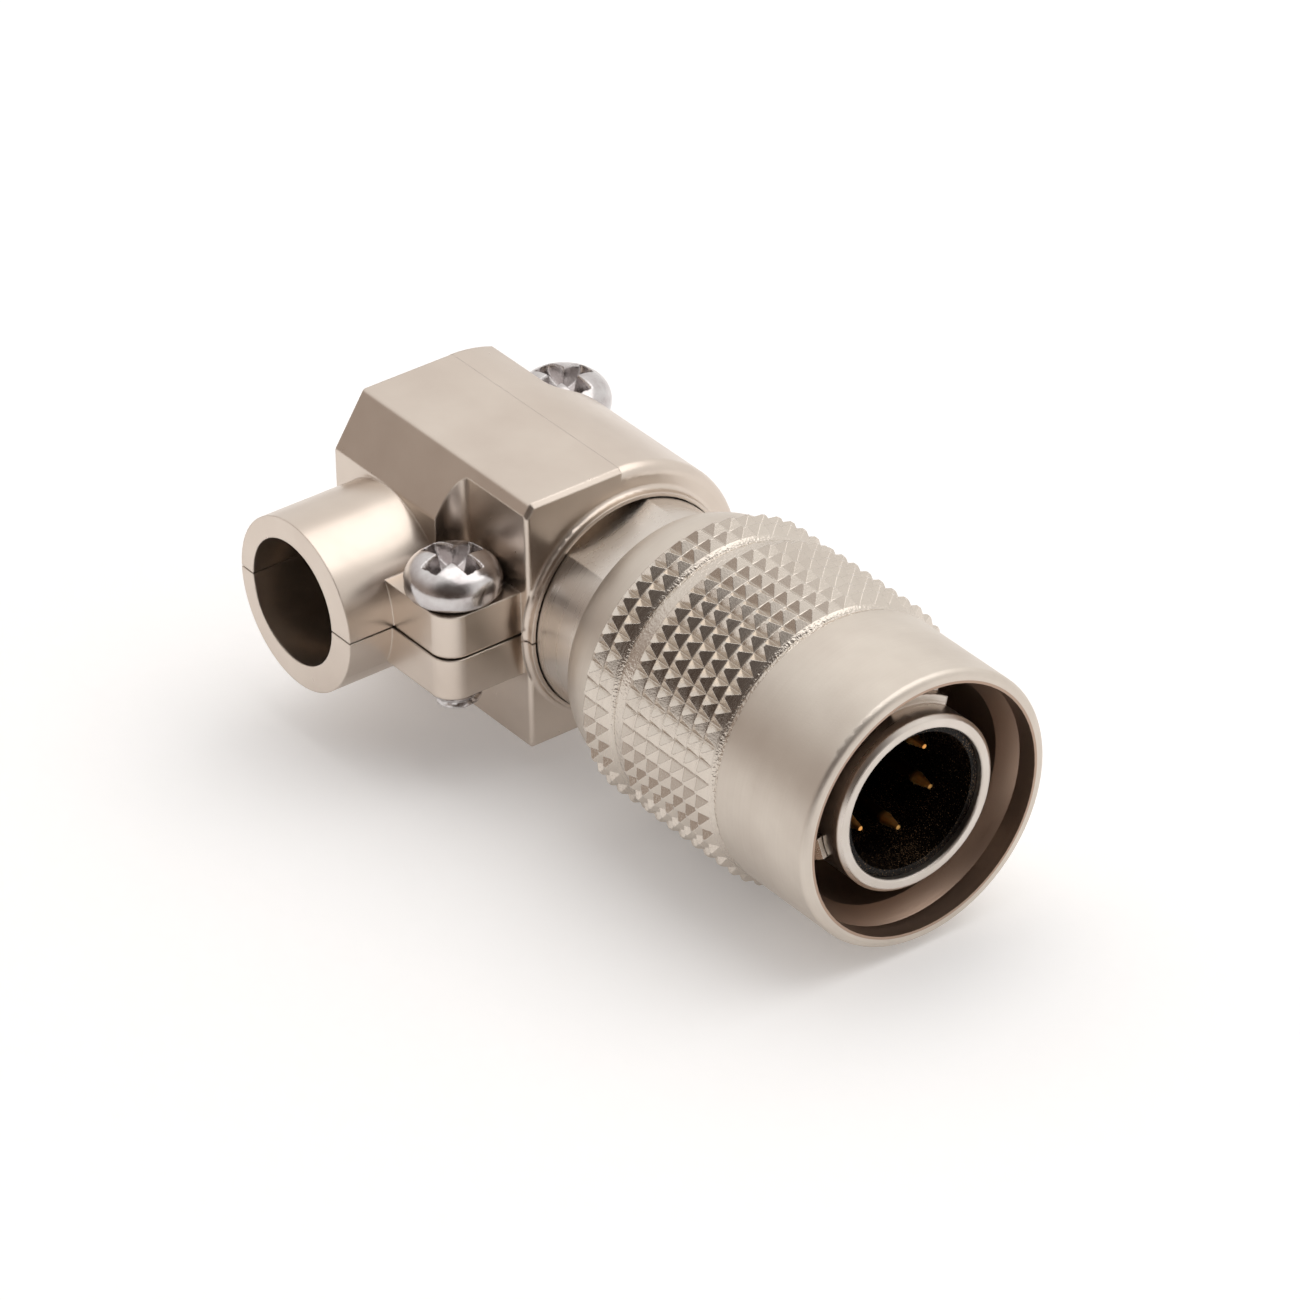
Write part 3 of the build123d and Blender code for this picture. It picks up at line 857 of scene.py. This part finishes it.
@dataclass
class Studio:
    """White paper floor, a soft overhead light and a warm grey room behind the camera.

    Lengths are in millimetres unless a field says otherwise, and the camera's place and turn are in the
    row frame.
    """

    image_width: int = 1300
    focal_length: float = 7429.5
    sensor_width: float = 36.0
    clip_metres: tuple[float, float] = (0.01, 10.0)
    camera_place: tuple[float, float, float] = (168.63, -137.15, 147.64)
    camera_turn: tuple[float, float, float] = (1.9717877, 0.9707528, -0.5442893)
    floor_size: float = 1600.0
    paper_tones: tuple[str, str] = ("#f4f3f2", "#f9f8f8")
    paper_fibre: float = 0.4
    paper_relief: float = 0.02
    paper_bump: float = 0.15
    paper_glow: float = 0.19
    lamp_name: str = "overhead_softbox"
    lamp_place: tuple[float, float, float] = (0.0, 120.0, 328.0)
    lamp_size: float = 380.0
    lamp_brightness: float = 0.36
    tent_side: tuple[float, float, float] = (0.0, 0.5, 0.86)
    tent_edge: tuple[float, float] = (-0.25, 0.5)
    tent_tones: tuple[str, str] = ("#a89a90", "#fbf9f7")
    room_edge: tuple[float, float] = (0.6, 0.92)
    room_share: float = 0.9
    room_tone: str = "#37281f"

    def build(self, sleeve: str) -> None:
        """Builds the camera, floor, lamp and world.

        Args:
            sleeve: the node whose knurl stands on the floor.
        """
        self.add_camera()
        self.add_floor(sleeve)
        self.add_lamp()
        self.add_world()
        log.info("set up the studio")

    def add_camera(self) -> None:
        """Puts the camera where it was fitted to the photograph."""
        lens = bpy.data.cameras.new("photograph")
        lens.sensor_width = self.sensor_width
        lens.lens = self.focal_length / self.image_width * self.sensor_width
        lens.clip_start, lens.clip_end = self.clip_metres
        camera = bpy.data.objects.new("photograph", lens)
        turn = Vector(self.camera_turn)
        rows = Matrix.Rotation(turn.length, 3, turn.normalized())
        place = Matrix((rows[0], -rows[1], -rows[2])).transposed().to_4x4()
        place.translation = Vector(self.camera_place) * MM
        camera.matrix_world = place
        bpy.context.scene.collection.objects.link(camera)
        bpy.context.scene.camera = camera

    def add_floor(self, sleeve: str) -> None:
        """Lays the floor under the knurl, on which the plug stands.

        Args:
            sleeve: the node whose knurl stands on the floor.
        """
        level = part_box(sleeve)[0][2]
        half = self.floor_size / 2 * MM
        corners = [Vector((half * x, half * y, level)) for x, y in ((-1, -1), (1, -1), (1, 1), (-1, 1))]
        floor = mesh_object("paper_floor", corners, [(0, 1, 2, 3)])
        floor.data.materials.append(self.paper())

    def paper(self) -> bpy.types.Material:
        """White paper: matte, with a faint fibre and a small glow that keeps it white to the camera.

        Returns:
            The material.
        """
        made = bpy.data.materials.new("white_paper")
        made.use_nodes = True
        tree = made.node_tree
        tree.nodes.clear()
        where = add_node(tree, "TexCoord")
        # Real fibres are about 0.03 mm wide and are drawn coarser so that they show
        fibre = add_node(
            tree, "TexNoise", {"Scale": 1 / (self.paper_fibre * MM), "Detail": 2.0},
            {"Vector": where.outputs["Object"]},
        )
        bump = add_node(
            tree, "Bump", {"Strength": self.paper_bump, "Distance": self.paper_relief * MM},
            {"Height": fibre.outputs["Fac"]},
        )
        darker, paler = self.paper_tones
        tone = add_node(
            tree, "Mix",
            {"data_type": "RGBA", MIX_FIRST: linear(darker), MIX_SECOND: linear(paler)},
            {MIX_FACTOR: fibre.outputs["Fac"]},
        )
        matte = add_node(
            tree, "BsdfDiffuse", links={"Color": tone.outputs[MIX_RESULT], "Normal": bump.outputs[0]}
        )
        rays = add_node(tree, "LightPath")
        seen = add_node(
            tree, "Math", {"operation": "MAXIMUM"},
            {0: rays.outputs["Is Camera Ray"], 1: rays.outputs["Is Glossy Ray"]},
        )
        shown = add_node(
            tree, "Math", {"operation": "MAXIMUM"}, {0: seen.outputs[0], 1: rays.outputs["Is Transmission Ray"]}
        )
        strength = add_node(
            tree, "Math", {"operation": "MULTIPLY", 1: self.paper_glow}, {0: shown.outputs[0]}
        )
        glow = add_node(tree, "Emission", {"Color": (1, 1, 1, 1)}, {"Strength": strength.outputs[0]})
        both = add_node(tree, "AddShader", links={0: matte.outputs[0], 1: glow.outputs[0]})
        add_node(tree, "OutputMaterial", links={"Surface": both.outputs[0]})
        return made

    def add_lamp(self) -> None:
        """Adds a square softbox that faces the object, at a brightness of which 1 shows white as white."""
        lamp = bpy.data.lights.new(self.lamp_name, "AREA")
        lamp.size = self.lamp_size * MM
        away = Vector(self.lamp_place) * MM
        # Its power over pi and the distance squared lights a surface that faces it, which gives 1 / pi of that
        lamp.energy = self.lamp_brightness * math.pi * math.pi * away.length_squared
        piece = bpy.data.objects.new(self.lamp_name, lamp)
        piece.location = away
        piece.rotation_euler = (-away).to_track_quat("-Z", "Y").to_euler()
        bpy.context.scene.collection.objects.link(piece)

    def add_world(self) -> None:
        """Lights from a pale tent that falls off to a warm grey room behind the camera."""
        world = bpy.data.worlds.new("studio")
        bpy.context.scene.world = world
        world.use_nodes = True
        tree = world.node_tree
        tree.nodes.clear()
        where = add_node(tree, "TexCoord")
        toward_light = add_node(
            tree, "VectorMath", {"operation": "DOT_PRODUCT", 1: Vector(self.tent_side).normalized()},
            {0: where.outputs["Generated"]},
        )
        lit = add_node(
            tree, "MapRange",
            {
                "interpolation_type": "SMOOTHSTEP",
                "From Min": self.tent_edge[0],
                "From Max": self.tent_edge[1],
            },
            {"Value": toward_light.outputs["Value"]},
        )
        low_tone, high_tone = self.tent_tones
        tent = add_node(
            tree, "Mix",
            {"data_type": "RGBA", MIX_FIRST: linear(low_tone), MIX_SECOND: linear(high_tone)},
            {MIX_FACTOR: lit.outputs[0]},
        )
        toward_camera = add_node(
            tree, "VectorMath", {"operation": "DOT_PRODUCT", 1: Vector(self.camera_place).normalized()},
            {0: where.outputs["Generated"]},
        )
        room = add_node(
            tree, "MapRange",
            {
                "interpolation_type": "SMOOTHSTEP",
                "From Min": self.room_edge[0],
                "From Max": self.room_edge[1],
                "To Max": self.room_share,
            },
            {"Value": toward_camera.outputs["Value"]},
        )
        around = add_node(
            tree, "Mix", {"data_type": "RGBA", MIX_SECOND: linear(self.room_tone)},
            {MIX_FACTOR: room.outputs[0], MIX_FIRST: tent.outputs[MIX_RESULT]},
        )
        sky = add_node(
            tree, "Background", {"Strength": 1.0}, {"Color": around.outputs[MIX_RESULT]}
        )
        add_node(tree, "OutputWorld", links={"Surface": sky.outputs[0]})


def main() -> None:
    """Dresses the frame, builds the screws and the spring, and sets up the studio."""
    logging.basicConfig(level=logging.INFO, format="%(name)s: %(message)s")
    startup = set(bpy.data.objects)
    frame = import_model()
    for leftover in startup:
        bpy.data.objects.remove(leftover)
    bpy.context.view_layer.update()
    nodes = frame["nodes"]
    pins = tuple(sorted(name for name in nodes if name.startswith("contact_pin")))
    groups = (
        DressedNodes(SATIN_NICKEL, ("coupling_sleeve",)),
        DressedNodes(BRIGHT_NICKEL, ("plug_shell", "clamp_nut", "insert_retainer")),
        DressedNodes(CAST_NICKEL, ("housing_upper", "housing_lower")),
        DressedNodes(SPRING_STEEL, ("latch_spring", "spring_seat")),
        DressedNodes(INSULATOR_BLACK, ("insulator_front", "insulator_rear")),
        DressedNodes(CONTACT_GOLD, pins),
    )
    for group in groups:
        group.dress(nodes)
    steel = SCREW_STEEL.material()
    ClampScrew("clamp_screw_near", turn=8).build(steel)
    ClampScrew("clamp_screw_far", turn=5).build(steel)
    ReturnSpring().build(SPRING_STEEL.material())
    Studio().build("coupling_sleeve")
    bpy.context.scene.view_settings.view_transform = "Standard"


if __name__ == "__main__":
    main()
